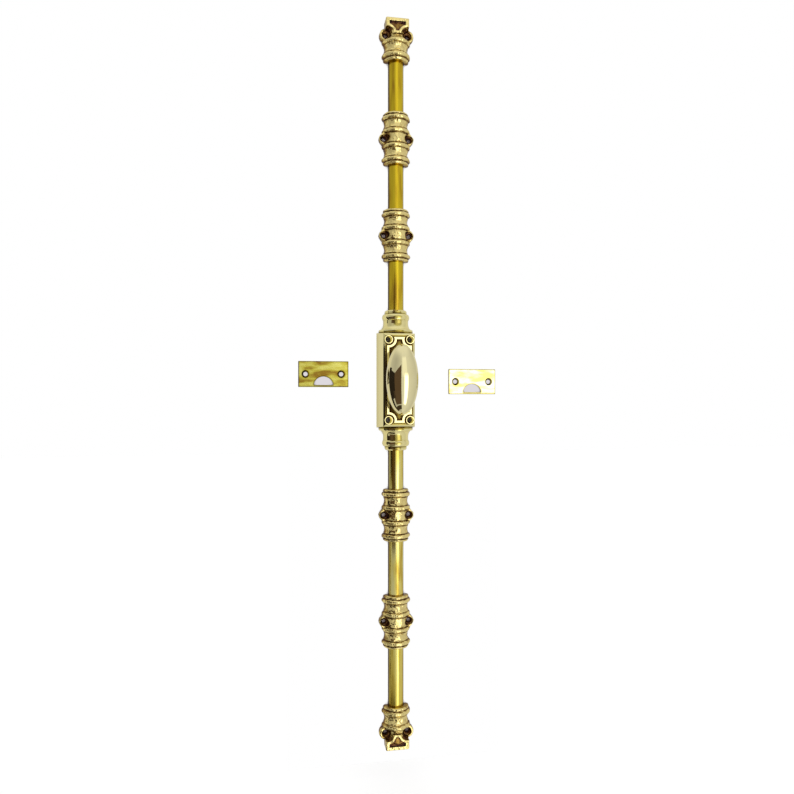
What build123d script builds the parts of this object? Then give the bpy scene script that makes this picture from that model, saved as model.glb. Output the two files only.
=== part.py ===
from build123d import *
import math
import os

# A cremone bolt: one knob turns a pinion, and two racks push two half-round rods apart, up into the head
# of a door frame and down into its sill. Millimetres, Z up along the rods. The mounting plane is Y = 0,
# the front is towards -Y, and the origin lies on that plane on the axis of the knob.

# Rods and the gap that they run in
rod_radius = 8.0
rod_lift = 0.4
rod_gap = 0.3
rod_end_recess = 1.0
rod_end_chamfer = 1.2

# Distance of each end guide's inner end from the knob, and centre height of each rod guide
top_guide_start = 323.5
bottom_guide_start = 331.0
upper_outer_height = 245.0
upper_inner_height = 147.0
lower_inner_height = -137.0
lower_outer_height = -245.0

# Grooves chased into the guides, between their rings
groove_width = 0.9
groove_depth = 0.7

# Rod guide: a turned form cut in half lengthwise, with an ear on each side
guide_length = 53.0
guide_end_radius = 11.4
guide_lip_radius = 13.2
guide_lip_length = 2.3
guide_bead_radius = 14.7
guide_bead_foot = 12.8
guide_bead_length = 5.7
guide_cove_radius = 11.9
guide_cove_length = 8.3
guide_ring_radius = 14.6
guide_ring_foot = 13.0
guide_ring_length = 5.2
guide_drum_radius = 13.4
guide_screw_spacing = 25.7
ear_radius = 5.0
ear_height = 6.0
ear_web_width = 25.4
ear_web_length = 15.6
ear_floor = 4.4
ear_pocket_floor_radius = 3.7
ear_pocket_mouth_radius = 6.0
ear_edge = 1.1

# End guide: the same turned form, then a square block over the rod's end
end_guide_length = 41.5
end_bead_length = 6.5
end_cove_radius = 11.9
end_cove_length = 8.3
end_ring_radius = 14.6
end_ring_length = 4.9
end_band_radius = 11.0
end_screw_spacing = 22.4
end_screw_distance = 26.6
end_ear_radius = 6.3
end_ear_height = 6.4
end_ear_web_width = 24.0
end_ear_web_length = 11.0
end_ear_floor = 5.0
end_pocket_floor_radius = 3.7
end_pocket_mouth_radius = 6.5
end_pocket_mouth_spacing = 19.8
end_pocket_mouth_drop = 0.5
block_width = 23.6
block_depth = 13.2
block_length = 15.5
block_frame = 3.5
block_foot_frame = 2.5
block_pocket_frame = 2.1
block_sink = 2.4
block_edge = 1.1

# Screw holes in the guides
guide_hole_radius = 2.0
guide_sink_radius = 3.2

# Case: a tapered box with a neck at each end. The slopes, margins and insets are those of one side
case_width = 39.6
case_height = 96.0
case_depth = 22.2
case_slope_x = 4.2
case_slope_z = 1.8
case_bevel = 1.7
case_wall = 2.4
case_end_wall = 2.6
front_wall = 2.9
field_sink = 0.9
cartouche_margin_x = 3.0
cartouche_margin_z = 3.5
cartouche_band = 2.5
cartouche_rise = 0.9
cartouche_edge = 0.35
boss_clearance = 5.7
boss_radius = 4.3
boss_rise = 1.3
boss_rim = 0.8
boss_edge = 0.35
boss_inset_x = 4.8
boss_inset_z = 6.2
case_hole_radius = 2.1
case_column_radius = 3.6

# Neck of the case: lengths along Z from the case outwards, and radii
neck_length = 23.0
neck_root_radius = 17.2
cornice_radius = 17.6
cornice_length = 3.0
cornice_neck_radius = 15.6
flare_length = 6.4
flare_hollow = 0.22
throat_radius = 12.9
throat_length = 3.4
neck_bead_radius = 14.0
neck_bead_length = 6.0
cap_radius = 11.3
cap_edge = 1.0

# Mechanism
gear_module = 1.25
pinion_teeth = 16
pressure_angle = 20.0
gear_backlash = 0.16
knob_turn = 90.0
rack_lead_teeth = 2
rack_thickness = 3.5
rack_back_gap = 0.5
rack_bar = 2.9
rack_arm_height = 6.0
rack_arm_gap = 0.95
rack_tongue_width = 10.0
lap_length = 18.0
rod_start_gap = 0.3
pinion_gap = 0.3
pinion_thickness = 4.4
rail_gap = 0.4
rail_height = 16.0
rail_depth = 8.0

# Back plate
plate_thickness = 1.5
plate_gap = 0.1
plate_seat = 0.9
plate_screw_x = 12.5
plate_screw_z = 29.5
plate_screw_radius = 1.45
plate_screw_length = 9.0
plate_screw_head = 2.7
plate_boss_radius = 3.2

# Rack screws
rack_screw_radius = 1.45
rack_screw_head = 2.7
rack_screw_pitch = 9.0
rack_screw_margin = 4.5
rack_screw_length = 5.6

# Knob, spindle and bush
knob_length = 69.0
knob_width = 31.5
knob_crown = 15.0
knob_back = 10.5
knob_widest_depth = 38.0
knob_neck_radius = 7.2
knob_neck_waist = 6.2
knob_neck_gap = 0.3
spindle_radius = 4.5
spindle_square = 6.2
spindle_tail_radius = 2.8
spindle_tail_gap = 0.3
spindle_reach = 41.0
fit_gap = 0.05
press_gap = 0.02
washer_thickness = 0.6
washer_radius = 7.6
bush_radius = 6.2
bush_flange_radius = 8.6
bush_flange = 1.4
bush_flange_edge = 0.45
bearing_boss_radius = 9.0
rose_radius = 10.4
rose_rise = 1.8
pin_radius = 1.1
pin_height = 1.9

# Strike plates
strike_width = 50.2
strike_height = 26.0
strike_thickness = 2.0
strike_corner = 0.6
strike_bevel = 0.5
strike_screw_spacing = 35.7
strike_hole_radius = 2.25
strike_sink_radius = 3.9
strike_opening_width = 19.5
strike_opening_height = 8.6
strike_opening_foot = 2.0
left_strike_x = -73.7
left_strike_z = 6.0
right_strike_x = 80.7
right_strike_z = -1.0

# Countersinks, screw slots, and the overrun of a cut past a face
sink_angle = 82.0
slot_width = 0.7
slot_depth = 0.7
cut_margin = 1.0

# Sizes worked out from those above
face_width = case_width - 2 * case_slope_x
face_height = case_height - 2 * case_slope_z
cartouche_width = face_width - 2 * cartouche_margin_x
cartouche_height = face_height - 2 * cartouche_margin_z
case_screw_spacing_x = face_width - 2 * boss_inset_x
case_screw_spacing_z = face_height - 2 * boss_inset_z
pitch_radius = gear_module * pinion_teeth / 2
tooth_pitch = math.pi * gear_module
tooth_height = 0.9 * gear_module
tooth_root = 1.2 * gear_module
throw = pitch_radius * math.radians(knob_turn)
neck_end = case_height / 2 + neck_length
rack_back = plate_thickness + rack_back_gap
rack_front = rack_back + rack_thickness
pinion_back = plate_thickness + pinion_gap
pinion_front = pinion_back + pinion_thickness
washer_back = pinion_front + fit_gap
washer_front = washer_back + washer_thickness
boss_back = washer_front + fit_gap
cavity_depth = case_depth - field_sink - front_wall
field_depth = case_depth - field_sink
rose_depth = field_depth + rose_rise
flange_front = rose_depth + bush_flange
neck_back = flange_front + knob_neck_gap
lap_depth = rack_front + fit_gap
quarter_arc = math.sqrt(0.5)
lip_shoulder = guide_end_radius + (guide_lip_radius - guide_end_radius) * quarter_arc
cavity_width = case_width - 2 * case_wall
cavity_height = case_height - 2 * case_end_wall
plate_height = cavity_height + 2 * plate_seat - 2 * plate_gap
rod_start = plate_height / 2 + rod_start_gap
rack_teeth = math.ceil(round(throw / tooth_pitch, 3)) + 2 * rack_lead_teeth
rack_root_line = pitch_radius + tooth_root
rack_back_line = rack_root_line + rack_bar
tip_radius = pitch_radius + tooth_height
arm_low = tip_radius + rack_arm_gap
arm_high = arm_low + rack_arm_height


def front(depth, height=0.0, direction=1):
    """A plane parallel to the mounting plane and facing forwards. Its local Y points up, or down for -1."""
    return Plane(origin=(0, -depth, height), x_dir=(direction, 0, 0), z_dir=(0, -1, 0))


def spot(across, depth, height, facing=-1):
    """A plane at one point, facing forwards, or backwards for a facing of 1."""
    return Plane(origin=(across, -depth, height), x_dir=(-facing, 0, 0), z_dir=(0, facing, 0))


def tunnel(low, high):
    """The space in which a rod slides: half-round, and open through the mounting plane."""
    radius = rod_radius + rod_gap
    with BuildPart() as space:
        with BuildSketch(Plane.XY.offset(low)):
            with Locations((0, -rod_lift)):
                Circle(radius)
                Rectangle(2 * radius, radius, align=(Align.CENTER, Align.MIN))
        extrude(amount=high - low)
    return space.part


def spot_pair(spacing, depth, height):
    """Two planes at one depth and height, facing forwards, one on each side of the rod."""
    return [spot(side * spacing / 2, depth, height) for side in (-1, 1)]


def ear_pair(spacing, radius, height, web_width, web_length, plane):
    """Two round ears on the mounting plane, and the web that spreads from them to the rings."""
    with BuildPart() as ears:
        with BuildSketch(plane):
            with GridLocations(spacing, 0, 2, 1):
                Circle(radius)
            Rectangle(web_width, web_length)
            make_hull()
        extrude(amount=height)
        fillet(ears.faces().sort_by(Axis.Y)[0].edges(), ear_edge)
    return ears.part


def pocket_pair(floor_places, floor_radius, mouth_places, mouth_radius):
    """Two round pockets that widen from the floor of the ears to the front of the casting."""
    with BuildPart() as pockets:
        for floor_place, mouth_place in zip(floor_places, mouth_places):
            with BuildSketch(floor_place):
                Circle(floor_radius)
            with BuildSketch(mouth_place):
                Circle(mouth_radius)
            loft(ruled=True)
    return pockets.part


def chased(radius, height, way):
    """The three points of a chased groove. The outline is drawn upwards, or downwards for a way of -1."""
    reach = way * groove_width / 2
    return [(radius, height - reach), (radius - groove_depth, height), (radius, height + reach)]


def rod_guide(height, label):
    """A rod guide: beads, coves and rings about a plain drum, with two screw ears."""
    half = guide_length / 2
    lip_foot = half - guide_lip_length
    bead_foot = lip_foot - guide_bead_length
    ring_foot = bead_foot - guide_cove_length
    drum_top = ring_foot - guide_ring_length
    bead_middle = (lip_foot + bead_foot) / 2
    cove_middle = (bead_foot + ring_foot) / 2
    ring_middle = (ring_foot + drum_top) / 2
    lip_middle = half - guide_lip_length * (1 - quarter_arc)
    lip_groove = chased(guide_bead_foot, lip_foot - groove_width / 2, -1)
    bead_groove = chased(guide_bead_foot, bead_foot, -1)
    cove_groove = chased(guide_ring_foot, ring_foot, -1)
    ring_groove = chased(guide_ring_foot, drum_top, -1)
    drum_edge = (guide_ring_foot, groove_width / 2 - drum_top)
    space = tunnel(height - guide_length, height + guide_length)
    ears = ear_pair(
        guide_screw_spacing,
        ear_radius,
        ear_height,
        ear_web_width,
        ear_web_length,
        front(0, height),
    )
    screw_places = spot_pair(guide_screw_spacing, ear_floor, height)
    pockets = pocket_pair(
        screw_places,
        ear_pocket_floor_radius,
        spot_pair(guide_screw_spacing, guide_bead_radius, height),
        ear_pocket_mouth_radius,
    )
    with BuildPart() as guide:
        with BuildSketch(front(0, height)):
            with BuildLine():
                Polyline(drum_edge, (0, drum_edge[1]), (0, half), (guide_end_radius, half))
                ThreePointArc(
                    (guide_end_radius, half),
                    (lip_shoulder, lip_middle),
                    (guide_lip_radius, lip_foot),
                )
                Polyline((guide_lip_radius, lip_foot), *lip_groove[1:])
                ThreePointArc(lip_groove[2], (guide_bead_radius, bead_middle), bead_groove[0])
                Polyline(*bead_groove)
                ThreePointArc(bead_groove[2], (guide_cove_radius, cove_middle), cove_groove[0])
                Polyline(*cove_groove)
                ThreePointArc(cove_groove[2], (guide_ring_radius, ring_middle), ring_groove[0])
                Polyline(*ring_groove)
                ThreePointArc(ring_groove[2], (guide_drum_radius, 0), drum_edge)
            make_face()
            mirror(about=Plane.XZ)
        revolve(axis=Axis((0, 0, 0), (0, 0, -1)), revolution_arc=180)
        add(ears)
        add(pockets, mode=Mode.SUBTRACT)
        add(space, mode=Mode.SUBTRACT)
        with Locations(*screw_places):
            CounterSinkHole(
                guide_hole_radius,
                guide_sink_radius,
                ear_floor,
                counter_sink_angle=sink_angle,
            )
    guide.part.label = label
    export_step(guide.part, f"parts/{label}.step")


def end_guide(start, direction, label):
    """An end guide, from its inner end outwards. For a direction of -1 it hangs below its start."""
    lip_top = guide_lip_length
    bead_top = lip_top + end_bead_length
    cove_top = bead_top + end_cove_length
    ring_top = cove_top + end_ring_length
    block_foot = end_guide_length - block_length
    bead_middle = (lip_top + bead_top) / 2
    cove_middle = (bead_top + cove_top) / 2
    ring_middle = (cove_top + ring_top) / 2
    lip_groove = chased(guide_bead_foot, lip_top + groove_width / 2, 1)
    bead_groove = chased(guide_bead_foot, bead_top, 1)
    cove_groove = chased(guide_ring_foot, cove_top, 1)
    near = direction * start
    far = direction * (start + end_guide_length)
    space = tunnel(min(near, far) - cut_margin, max(near, far) + cut_margin)
    screw_height = direction * (start + end_screw_distance)
    mouth_distance = end_screw_distance - end_pocket_mouth_drop
    ears = ear_pair(
        end_screw_spacing,
        end_ear_radius,
        end_ear_height,
        end_ear_web_width,
        end_ear_web_length,
        front(0, screw_height),
    )
    screw_places = spot_pair(end_screw_spacing, end_ear_floor, screw_height)
    mouth_height = direction * (start + mouth_distance)
    pockets = pocket_pair(
        screw_places,
        end_pocket_floor_radius,
        spot_pair(end_pocket_mouth_spacing, block_depth, mouth_height),
        end_pocket_mouth_radius,
    )
    block_middle = end_guide_length - block_length / 2
    field_low = block_foot + block_foot_frame
    field_top = end_guide_length - block_frame
    with BuildPart() as block:
        with BuildSketch(front(0, near, direction)):
            with Locations((0, block_middle)):
                Rectangle(block_width, block_length)
        extrude(amount=block_depth)
        fillet(block.edges().filter_by_position(Axis.Y, -2 * block_depth, -block_edge), block_edge)
    with BuildPart() as guide:
        with BuildSketch(front(0, near, direction)):
            with BuildLine():
                Polyline(
                    (end_band_radius, block_foot + cut_margin),
                    (0, block_foot + cut_margin),
                    (0, 0),
                    (guide_end_radius, 0),
                )
                ThreePointArc(
                    (guide_end_radius, 0),
                    (lip_shoulder, guide_lip_length * (1 - quarter_arc)),
                    (guide_lip_radius, lip_top),
                )
                Polyline((guide_lip_radius, lip_top), *lip_groove[1:])
                ThreePointArc(lip_groove[2], (guide_bead_radius, bead_middle), bead_groove[0])
                Polyline(*bead_groove)
                ThreePointArc(bead_groove[2], (end_cove_radius, cove_middle), cove_groove[0])
                Polyline(*cove_groove)
                ThreePointArc(
                    cove_groove[2],
                    (end_ring_radius, ring_middle),
                    (guide_ring_foot, ring_top),
                )
                Line((guide_ring_foot, ring_top), (end_band_radius, ring_top))
                Line((end_band_radius, ring_top), (end_band_radius, block_foot + cut_margin))
            make_face()
        revolve(axis=Axis((0, 0, 0), (0, 0, -direction)), revolution_arc=180)
        add(block)
        add(ears)
        add(pockets, mode=Mode.SUBTRACT)
        with BuildSketch(front(block_depth, near, direction)):
            with Locations((0, (field_low + field_top) / 2)):
                Rectangle(block_width - 2 * block_frame, field_top - field_low)
            with Locations((0, mouth_distance)):
                with GridLocations(end_pocket_mouth_spacing, 0, 2, 1):
                    Circle(end_pocket_mouth_radius + block_pocket_frame, mode=Mode.SUBTRACT)
        extrude(amount=-block_sink, mode=Mode.SUBTRACT)
        add(space, mode=Mode.SUBTRACT)
        with Locations(*screw_places):
            CounterSinkHole(
                guide_hole_radius,
                guide_sink_radius,
                end_ear_floor,
                counter_sink_angle=sink_angle,
            )
    guide.part.label = label
    export_step(guide.part, f"parts/{label}.step")


def neck(direction):
    """A neck of the case, from inside its end wall outwards: cornice, flare, throat, bead and cap."""
    foot = case_height / 2 - case_end_wall / 2
    cornice_low = case_height / 2
    cornice_top = cornice_low + cornice_length
    flare_top = cornice_top + flare_length
    throat_top = flare_top + throat_length
    bead_top = throat_top + neck_bead_length
    flare_radius = throat_radius + flare_hollow * (cornice_neck_radius - throat_radius)
    end = case_height / 2 + neck_length
    with BuildPart() as turned:
        with BuildSketch(front(0, 0, direction)):
            with BuildLine():
                Polyline(
                    (cap_radius - cap_edge, end),
                    (0, end),
                    (0, foot),
                    (neck_root_radius, foot),
                    (neck_root_radius, cornice_low),
                )
                ThreePointArc(
                    (neck_root_radius, cornice_low),
                    (cornice_radius, (cornice_low + cornice_top) / 2),
                    (neck_root_radius, cornice_top),
                )
                Line((neck_root_radius, cornice_top), (cornice_neck_radius, cornice_top))
                ThreePointArc(
                    (cornice_neck_radius, cornice_top),
                    (flare_radius, (cornice_top + flare_top) / 2),
                    (throat_radius, flare_top),
                )
                Line((throat_radius, flare_top), (throat_radius, throat_top))
                ThreePointArc(
                    (throat_radius, throat_top),
                    (neck_bead_radius, (throat_top + bead_top) / 2),
                    (throat_radius, bead_top),
                )
                Polyline(
                    (throat_radius, bead_top),
                    (cap_radius, bead_top),
                    (cap_radius, end - cap_edge),
                    (cap_radius - cap_edge, end),
                )
            make_face()
        revolve(axis=Axis((0, 0, 0), (0, 0, -direction)), revolution_arc=180)
    return turned.part


def tapered_block(width, height, low, high):
    """A block with the slope of the case's sides, between two depths. Its size is that at the back."""
    shrink_x = (case_width - face_width) / case_depth
    shrink_z = (case_height - face_height) / case_depth
    with BuildPart() as block:
        for depth in (low, high):
            with BuildSketch(front(depth)):
                Rectangle(width - shrink_x * depth, height - shrink_z * depth)
        loft(ruled=True)
    return block.part


def case_columns():
    """The columns inside the case: round the four fixing screws, the back plate's screws and the knob."""
    with BuildPart() as columns:
        with BuildSketch(front(plate_thickness)):
            with GridLocations(case_screw_spacing_x, case_screw_spacing_z, 2, 2):
                Circle(case_column_radius)
            with Locations((plate_screw_x, plate_screw_z), (-plate_screw_x, -plate_screw_z)):
                Circle(plate_boss_radius)
        extrude(amount=cavity_depth - plate_thickness + cut_margin)
        with BuildSketch(front(boss_back)):
            Circle(bearing_boss_radius)
        extrude(amount=cavity_depth - boss_back + cut_margin)
        for side in (-1, 1):
            rail_middle = side * (rack_back_line + rail_gap + case_wall)
            with BuildSketch(front(plate_thickness)):
                with Locations((rail_middle, 0)):
                    Rectangle(2 * case_wall, rail_height)
            extrude(amount=rail_depth)
    return columns.part


def cartouche(plane, inset):
    """The raised border's outline on the case: a rectangle that gives way to the four bosses."""
    with BuildSketch(plane) as outline:
        Rectangle(cartouche_width, cartouche_height)
        with GridLocations(case_screw_spacing_x, case_screw_spacing_z, 2, 2):
            Circle(boss_clearance, mode=Mode.SUBTRACT)
        if inset > 0:
            offset(amount=-inset, kind=Kind.INTERSECTION)
    return outline.sketch


def case_body():
    """The cast case: its tapered shell, necks, border, bosses and the bearing for the spindle."""
    outer = tapered_block(case_width, case_height, 0, case_depth)
    hollow = tapered_block(cavity_width, cavity_height, 0, cavity_depth)
    limit = tapered_block(case_width - case_wall, case_height - case_wall, 0, case_depth)
    columns = case_columns() & limit
    upper_neck = neck(1)
    lower_neck = neck(-1)
    border = cartouche(front(case_depth), 0)
    field = cartouche(front(case_depth + cartouche_rise), cartouche_band)
    tunnels = [
        tunnel(cavity_height / 2 - cut_margin, neck_end + cut_margin),
        tunnel(-neck_end - cut_margin, cut_margin - cavity_height / 2),
    ]
    screw_places = [
        spot(x * case_screw_spacing_x / 2, case_depth + boss_rise, z * case_screw_spacing_z / 2)
        for x in (-1, 1)
        for z in (-1, 1)
    ]
    with BuildPart() as case:
        add(outer)
        face = case.faces().sort_by(Axis.Y)[0]
        chamfer(face.edges(), case_bevel)
        add(upper_neck)
        add(lower_neck)
        extrude(border, amount=cartouche_rise)
        extrude(field, amount=-(cartouche_rise + field_sink), mode=Mode.SUBTRACT)
        band = case.faces().sort_by(Axis.Y)[0]
        fillet(band.edges(), cartouche_edge)
        with BuildSketch(front(case_depth - case_bevel)):
            with GridLocations(case_screw_spacing_x, case_screw_spacing_z, 2, 2):
                Circle(boss_radius)
        extrude(amount=boss_rise + case_bevel)
        fillet(case.faces().sort_by(Axis.Y)[:4].edges(), boss_edge)
        with BuildSketch(front(field_depth - cut_margin)):
            Circle(rose_radius)
        extrude(amount=rose_rise + cut_margin)
        add(hollow, mode=Mode.SUBTRACT)
        add(columns)
        for space in tunnels:
            add(space, mode=Mode.SUBTRACT)
        with BuildSketch(front(0)):
            Rectangle(cavity_width + 2 * plate_seat, cavity_height + 2 * plate_seat)
        extrude(amount=plate_thickness, mode=Mode.SUBTRACT)
        with Locations(*screw_places):
            CounterSinkHole(
                case_hole_radius,
                boss_radius - boss_rim,
                2 * case_depth,
                counter_sink_angle=sink_angle,
            )
        with BuildSketch(front(0)):
            with Locations((plate_screw_x, plate_screw_z), (-plate_screw_x, -plate_screw_z)):
                Circle(plate_screw_radius + press_gap)
        extrude(amount=plate_screw_length + cut_margin, mode=Mode.SUBTRACT)
        with BuildSketch(front(0)):
            Circle(bush_radius + press_gap)
        extrude(amount=2 * case_depth, mode=Mode.SUBTRACT)
    case.part.label = "case_body"
    export_step(case.part, "parts/case_body.step")


def plate_screw_spots(depth, facing):
    """The places of the two screws of the back plate, at a depth."""
    return [spot(side * plate_screw_x, depth, side * plate_screw_z, facing) for side in (1, -1)]


def back_plate():
    """The flat plate let into the back of the case. It carries the tail of the spindle."""
    with BuildPart() as plate:
        with BuildSketch(front(0)):
            Rectangle(cavity_width + 2 * plate_seat - 2 * plate_gap, plate_height)
            Circle(spindle_tail_radius + fit_gap, mode=Mode.SUBTRACT)
            with GridLocations(case_screw_spacing_x, case_screw_spacing_z, 2, 2):
                Circle(case_hole_radius, mode=Mode.SUBTRACT)
        extrude(amount=plate_thickness - press_gap)
        with Locations(*plate_screw_spots(0, 1)):
            CounterSinkHole(
                plate_screw_radius + press_gap,
                plate_screw_head + press_gap,
                plate_thickness,
                counter_sink_angle=sink_angle,
            )
    plate.part.label = "back_plate"
    export_step(plate.part, "parts/back_plate.step")


def countersunk_screws(places, radius, head_radius, length, label):
    """Flat-headed screws with a slot, each from a plane at its head that faces away from its shank."""
    head_height = (head_radius - radius) / math.tan(math.radians(sink_angle / 2))
    with BuildPart() as screws:
        for place in places:
            head_end = place.offset(-head_height)
            with Locations(head_end):
                Cone(radius, head_radius, head_height, align=(Align.CENTER, Align.CENTER, Align.MIN))
            with Locations(place.offset(-length)):
                Cylinder(
                    radius,
                    length - head_height / 2,
                    align=(Align.CENTER, Align.CENTER, Align.MIN),
                )
            with Locations(place):
                Box(2 * head_radius, slot_width, 2 * slot_depth, mode=Mode.SUBTRACT)
    screws.part.label = label
    export_step(screws.part, f"parts/{label}.step")


def gear_outline(plane):
    """The pinion's outline, with involute flanks drawn as arcs through three of their points."""
    base_radius = pitch_radius * math.cos(math.radians(pressure_angle))
    root_radius = pitch_radius - tooth_root
    tooth_width = (tooth_pitch - gear_backlash) / 2
    roll = math.tan(math.radians(pressure_angle)) - math.radians(pressure_angle)

    def flank(radius):
        """Half the angle of a tooth at a radius."""
        angle = math.acos(min(1, base_radius / radius))
        return tooth_width / (2 * pitch_radius) + roll - (math.tan(angle) - angle)

    def point(radius, angle):
        return (radius * math.cos(angle), radius * math.sin(angle))

    middle_radius = (base_radius + tip_radius) / 2
    foot = flank(base_radius)
    step = 2 * math.pi / pinion_teeth
    with BuildSketch(plane) as outline:
        with BuildLine():
            for tooth in range(pinion_teeth):
                middle = tooth * step
                Line(point(root_radius, middle - foot), point(base_radius, middle - foot))
                ThreePointArc(
                    point(base_radius, middle - foot),
                    point(middle_radius, middle - flank(middle_radius)),
                    point(tip_radius, middle - flank(tip_radius)),
                )
                ThreePointArc(
                    point(tip_radius, middle - flank(tip_radius)),
                    point(tip_radius, middle),
                    point(tip_radius, middle + flank(tip_radius)),
                )
                ThreePointArc(
                    point(tip_radius, middle + flank(tip_radius)),
                    point(middle_radius, middle + flank(middle_radius)),
                    point(base_radius, middle + foot),
                )
                Line(point(base_radius, middle + foot), point(root_radius, middle + foot))
                ThreePointArc(
                    point(root_radius, middle + foot),
                    point(root_radius, middle + step / 2),
                    point(root_radius, middle + step - foot),
                )
        make_face()
    return outline.sketch


def pinion():
    """The toothed wheel, on the square of the spindle."""
    outline = gear_outline(front(pinion_back))
    with BuildPart() as wheel:
        extrude(outline, amount=pinion_thickness)
        with BuildSketch(front(0)):
            Rectangle(spindle_square + 2 * fit_gap, spindle_square + 2 * fit_gap)
        extrude(amount=case_depth, mode=Mode.SUBTRACT)
    wheel.part.label = "pinion"
    export_step(wheel.part, "parts/pinion.step")


def rack(direction, label):
    """A flat rack beside the pinion. Its arm leads to the middle and ends in a tongue on the rod."""
    low = -(rack_teeth - rack_lead_teeth) * tooth_pitch
    tongue_top = rod_start + lap_length - fit_gap
    slope = math.tan(math.radians(pressure_angle))
    half_tooth = (tooth_pitch - gear_backlash) / 4
    root_x = -rack_root_line
    tip_x = tooth_height - pitch_radius
    half_root = half_tooth + tooth_root * slope
    half_tip = half_tooth - tooth_height * slope
    outline = [(-rack_back_line, low), (root_x, low)]
    for tooth in range(rack_teeth):
        middle = low + (tooth + 0.5) * tooth_pitch
        outline += [
            (root_x, middle - half_root),
            (tip_x, middle - half_tip),
            (tip_x, middle + half_tip),
            (root_x, middle + half_root),
        ]
    outline += [
        (root_x, arm_low),
        (rack_tongue_width / 2, arm_low),
        (rack_tongue_width / 2, tongue_top),
        (-rack_tongue_width / 2, tongue_top),
        (-rack_tongue_width / 2, arm_high),
        (-rack_back_line, arm_high),
    ]
    with BuildPart() as bar:
        with BuildSketch(front(rack_back, 0, direction)):
            with BuildLine():
                Polyline(*outline, close=True)
            make_face()
        extrude(amount=rack_thickness)
        with Locations(*rack_screw_spots(direction)):
            CounterSinkHole(
                rack_screw_radius + press_gap,
                rack_screw_head + press_gap,
                rack_thickness,
                counter_sink_angle=sink_angle,
            )
    bar.part.label = label
    export_step(bar.part, f"parts/{label}.step")


def rack_screw_spots(direction):
    """The places of the two screws that hold a rod on the tongue of its rack."""
    first = rod_start + rack_screw_margin
    return [
        spot(0, rack_back, direction * (first + number * rack_screw_pitch), 1)
        for number in range(2)
    ]


def rod(direction, end, label):
    """A half-round rod. Its inner end is cut back behind, to lie on the tongue of its rack."""
    with BuildPart() as bar:
        with BuildSketch(Plane.XY.offset(direction * rod_start)):
            with Locations((0, -rod_lift)):
                Circle(rod_radius)
                Rectangle(
                    2 * rod_radius,
                    rod_radius,
                    align=(Align.CENTER, Align.MIN),
                    mode=Mode.SUBTRACT,
                )
        extrude(amount=direction * (end - rod_start))
        tip = bar.faces().sort_by(Axis((0, 0, 0), (0, 0, direction)))[-1]
        chamfer(tip.edges().filter_by(GeomType.CIRCLE), rod_end_chamfer)
        with BuildSketch(front(0, direction * rod_start, direction)):
            Rectangle(4 * rod_radius, lap_length, align=(Align.CENTER, Align.MIN))
        extrude(amount=lap_depth, mode=Mode.SUBTRACT)
        for place in rack_screw_spots(direction):
            with Locations(place.offset(-rack_screw_length / 2)):
                Cylinder(
                    rack_screw_radius + press_gap,
                    rack_screw_length + 2 * press_gap,
                    mode=Mode.SUBTRACT,
                )
    bar.part.label = label
    export_step(bar.part, f"parts/{label}.step")


def spindle():
    """The spindle along Y: a tail in the back plate, a square for the pinion and a round journal."""
    with BuildPart() as shaft:
        with BuildSketch(front(spindle_tail_gap)):
            Circle(spindle_tail_radius)
        extrude(amount=pinion_back - spindle_tail_gap)
        with BuildSketch(front(pinion_back)):
            Rectangle(spindle_square, spindle_square)
        extrude(amount=pinion_thickness)
        with BuildSketch(front(pinion_front)):
            Circle(spindle_radius)
        extrude(amount=spindle_reach - pinion_front)
        with Locations(Plane(origin=(0, -neck_back - pin_height, 0), z_dir=(1, 0, 0))):
            Cylinder(pin_radius + press_gap, 4 * spindle_radius, mode=Mode.SUBTRACT)
    shaft.part.label = "spindle"
    export_step(shaft.part, "parts/spindle.step")


def thrust_washer():
    """The washer between the pinion and the bearing."""
    with BuildPart() as washer:
        with BuildSketch(front(washer_back)):
            Circle(washer_radius)
            Circle(spindle_radius + fit_gap, mode=Mode.SUBTRACT)
        extrude(amount=washer_thickness)
    washer.part.label = "thrust_washer"
    export_step(washer.part, "parts/thrust_washer.step")


def front_bush():
    """The bearing bush of the spindle, with a flange on the face of the case."""
    with BuildPart() as bush:
        with BuildSketch(front(boss_back)):
            Circle(bush_radius)
        extrude(amount=rose_depth - boss_back)
        with BuildSketch(front(rose_depth)):
            Circle(bush_flange_radius)
        extrude(amount=bush_flange)
        fillet(bush.faces().sort_by(Axis.Y)[0].edges(), bush_flange_edge)
        with BuildSketch(front(0)):
            Circle(spindle_radius + fit_gap)
        extrude(amount=2 * case_depth, mode=Mode.SUBTRACT)
    bush.part.label = "front_bush"
    export_step(bush.part, "parts/front_bush.step")


def half_oval(bulge, keep):
    """Half of the knob's body, on the front or the back of its widest section."""
    middle = (0, -knob_widest_depth, 0)
    with BuildPart() as half:
        with Locations(middle):
            Sphere(1)
        scale(by=(knob_width / 2, bulge, knob_length / 2), about=middle)
        split(bisect_by=front(knob_widest_depth), keep=keep)
    return half.part


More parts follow.
